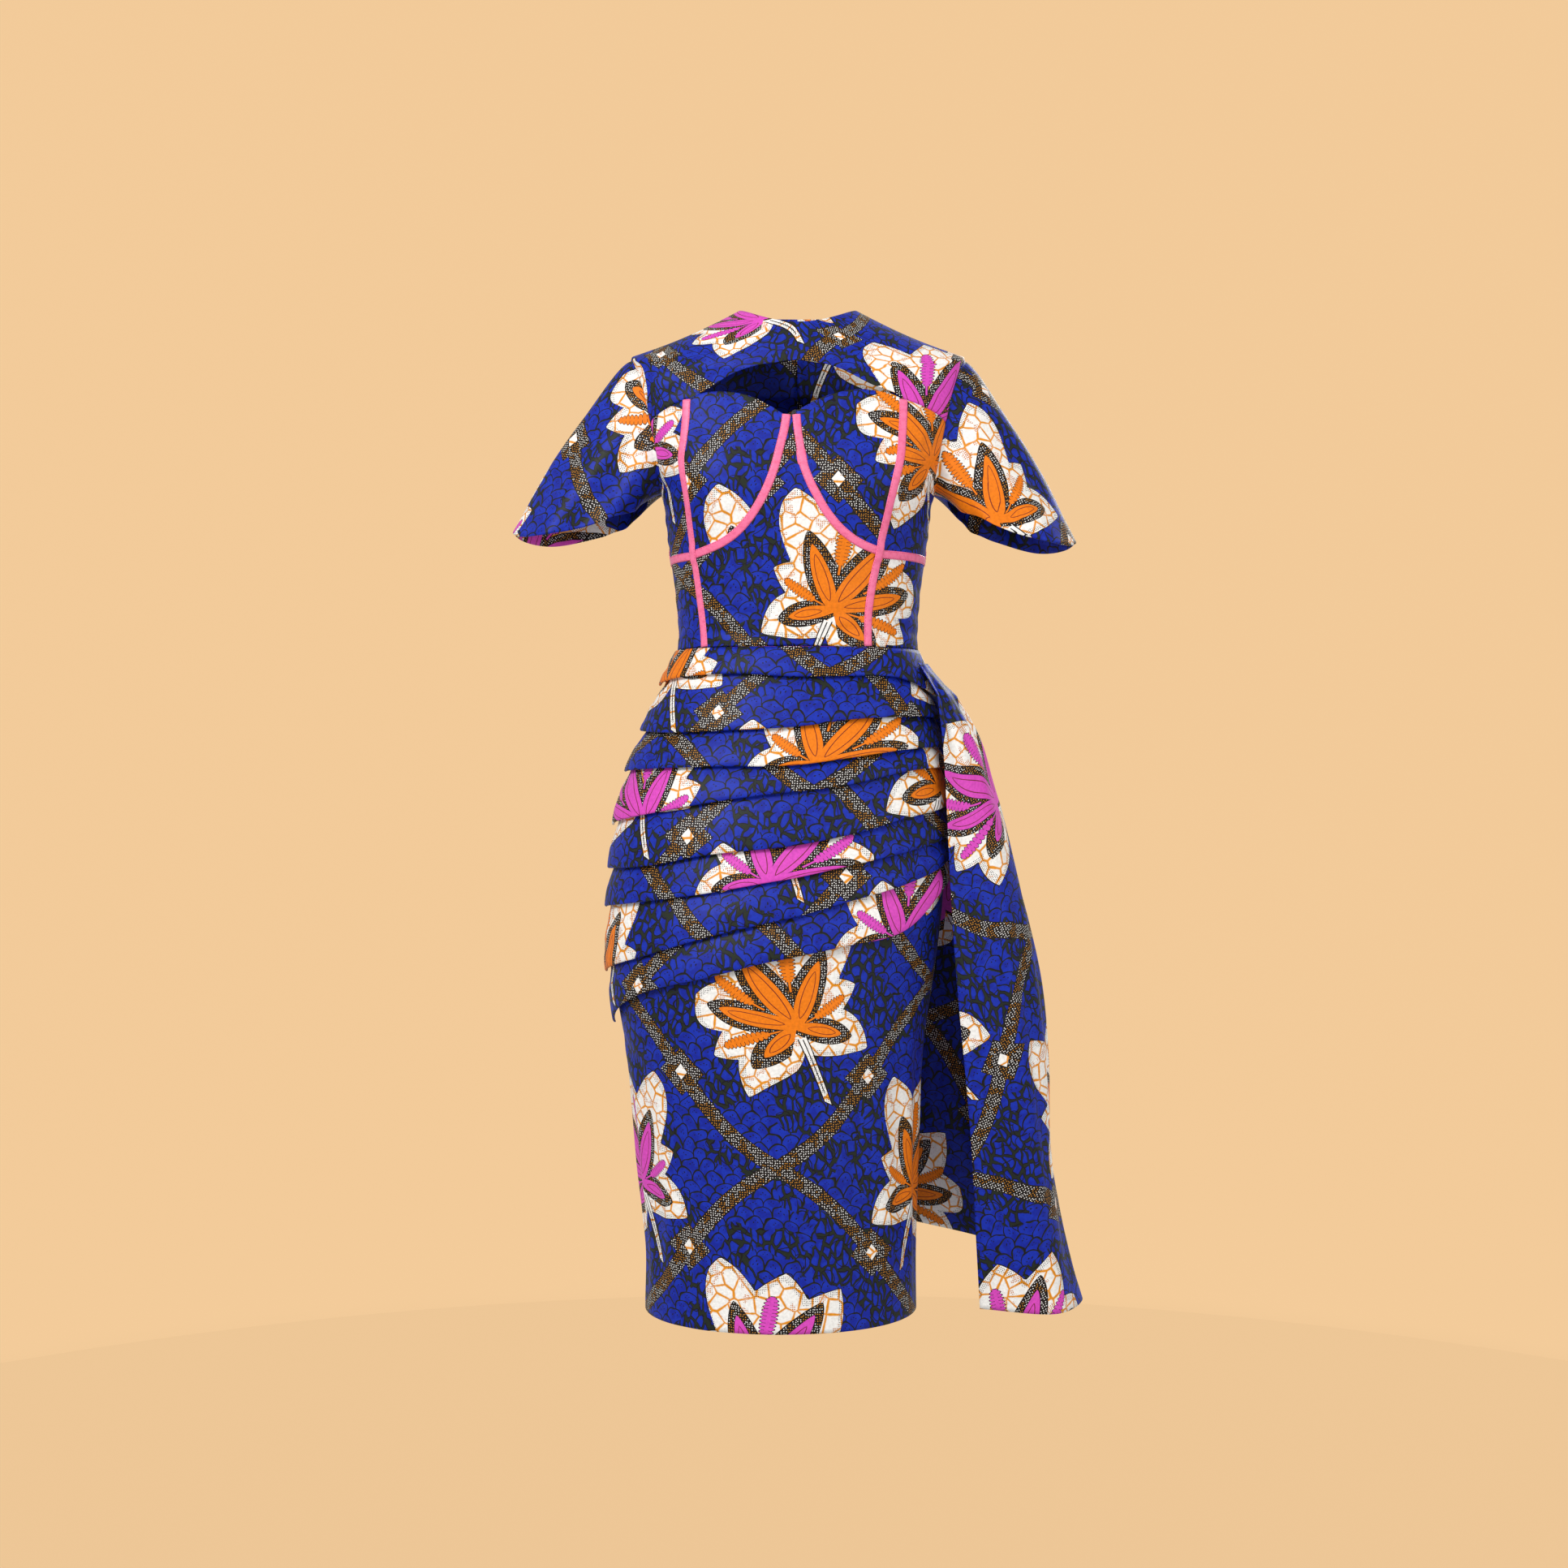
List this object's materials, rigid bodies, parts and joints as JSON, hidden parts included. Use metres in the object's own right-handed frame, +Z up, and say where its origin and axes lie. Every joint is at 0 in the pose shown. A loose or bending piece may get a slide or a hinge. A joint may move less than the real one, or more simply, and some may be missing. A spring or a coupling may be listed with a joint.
{
  "type": "wax print dress",
  "caption": "Fitted wax print dress with bust cut-out, bias tape seams, flared short sleeves, pleated hip drape, straight skirt and a side cascade.",
  "frame": {"origin": "midway between the shoulders at neck height, where the wearer holds the dress up", "axes": "+Z up, -Y the front of the dress, +X towards the side that carries the cascade"},
  "size_m": [0.6067, 0.2834, 1.0557],
  "materials": {
    "wax_print": "cotton wax print, soft sheen",
    "bias_tape": "folded satin-cotton bias tape"
  },
  "bodies": {
    "root": {"yoke": "wax_print", "side_bust_left": "wax_print", "side_bust_right": "wax_print", "cup_left": "wax_print", "cup_right": "wax_print", "midriff": "wax_print", "side_front_left": "wax_print", "side_front_right": "wax_print", "back_left": "wax_print", "back_right": "wax_print", "sleeve_left": "wax_print", "sleeve_right": "wax_print", "drape": "wax_print", "skirt_front": "wax_print", "skirt_back": "wax_print", "cascade": "wax_print", "tape_upright_left": "bias_tape", "tape_upright_right": "bias_tape", "tape_cup_left": "bias_tape", "tape_cup_right": "bias_tape", "tape_side_left": "bias_tape", "tape_side_right": "bias_tape", "tape_back_left": "bias_tape", "tape_back_right": "bias_tape", "tape_back_upright_left": "bias_tape", "tape_back_upright_right": "bias_tape"}
  },
  "joints": []
}
